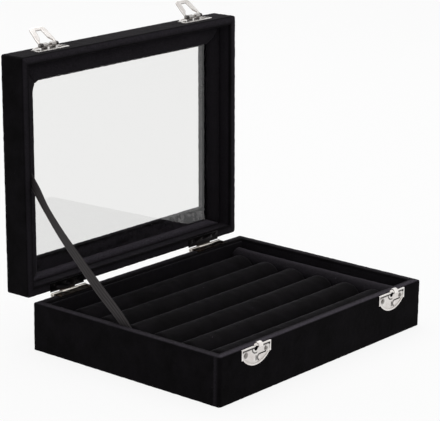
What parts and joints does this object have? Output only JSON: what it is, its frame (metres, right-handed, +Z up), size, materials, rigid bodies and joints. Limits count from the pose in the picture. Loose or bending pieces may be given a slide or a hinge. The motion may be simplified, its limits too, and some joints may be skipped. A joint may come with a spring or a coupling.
{
  "type": "ring display box",
  "caption": "Velvet-covered ring display box with foam ring rolls, a hinged glass-window lid held open by a ribbon stay, and swinging latch loops.",
  "frame": {"origin": "centre of the base's underside, on the table", "axes": "+X to the right along the front as seen from the front, +Y from the front to the hinges, +Z up. The stored pose is the lid open at its ribbon stop, with both latch loops swung back."},
  "size_m": [0.2, 0.1824, 0.1948],
  "materials": {
    "fibreboard": "raw pressed fibreboard, hidden by the velvet",
    "velvet": "black short-pile velvet",
    "velvet_foam": "black velvet over foam, pale sheen at grazing angles",
    "underside": "black flocked sheet",
    "glass": "clear, 2 mm, ground edge",
    "ribbon": "charcoal grosgrain ribbon",
    "nickel": "nickel-plated stamped steel",
    "steel": "bright steel pins and nails",
    "hinge_metal": "bronzed leaves with a worn, bright barrel"
  },
  "bodies": {
    "base": {"base_front_board": "fibreboard", "base_back_board": "fibreboard", "base_left_board": "fibreboard", "base_right_board": "fibreboard", "base_bottom_board": "fibreboard", "underside_sheet": "underside", "base_velvet_wrap": "velvet", "tray_lining": "velvet", "front_liner": "velvet", "back_liner": "velvet", "ring_roll_1": "velvet_foam", "ring_roll_2": "velvet_foam", "ring_roll_3": "velvet_foam", "ring_roll_4": "velvet_foam", "ring_roll_5": "velvet_foam", "ring_roll_6": "velvet_foam", "left_end_pad": "velvet_foam", "right_end_pad": "velvet_foam", "left_hinge_base_leaf": "hinge_metal", "right_hinge_base_leaf": "hinge_metal", "left_hinge_pin": "steel", "right_hinge_pin": "steel", "hinge_base_nails": "steel", "left_catch_plate": "nickel", "right_catch_plate": "nickel", "catch_nails": "steel", "ribbon_stay": "ribbon"},
    "lid": {"lid_front_board": "fibreboard", "lid_back_board": "fibreboard", "lid_left_board": "fibreboard", "lid_right_board": "fibreboard", "window_panel": "fibreboard", "lid_velvet_wrap": "velvet", "panel_velvet": "velvet", "window_glass": "glass", "front_glass_strip": "velvet", "back_glass_strip": "velvet", "left_glass_strip": "velvet", "right_glass_strip": "velvet", "left_hinge_lid_leaf": "hinge_metal", "right_hinge_lid_leaf": "hinge_metal", "hinge_lid_nails": "steel", "left_latch_plate": "nickel", "right_latch_plate": "nickel", "latch_nails": "steel"},
    "left_loop": {"left_latch_loop": "nickel", "left_latch_pin": "steel"},
    "right_loop": {"right_latch_loop": "nickel", "right_latch_pin": "steel"}
  },
  "joints": [
    {"name": "lid_hinge", "type": "hinge", "parent": "base", "child": "lid", "pos_m": [0, 0.0777, 0.0301], "axis": [1, 0, 0], "range_deg": [0, 91], "deforming": ["ribbon_stay"]},
    {"name": "left_loop_hinge", "type": "hinge", "parent": "lid", "child": "left_loop", "pos_m": [-0.068, 0.09172, 0.18558], "axis": [1, 0, 0], "range_deg": [0, 140]},
    {"name": "right_loop_hinge", "type": "hinge", "parent": "lid", "child": "right_loop", "pos_m": [0.068, 0.09172, 0.18558], "axis": [1, 0, 0], "range_deg": [0, 140]}
  ]
}
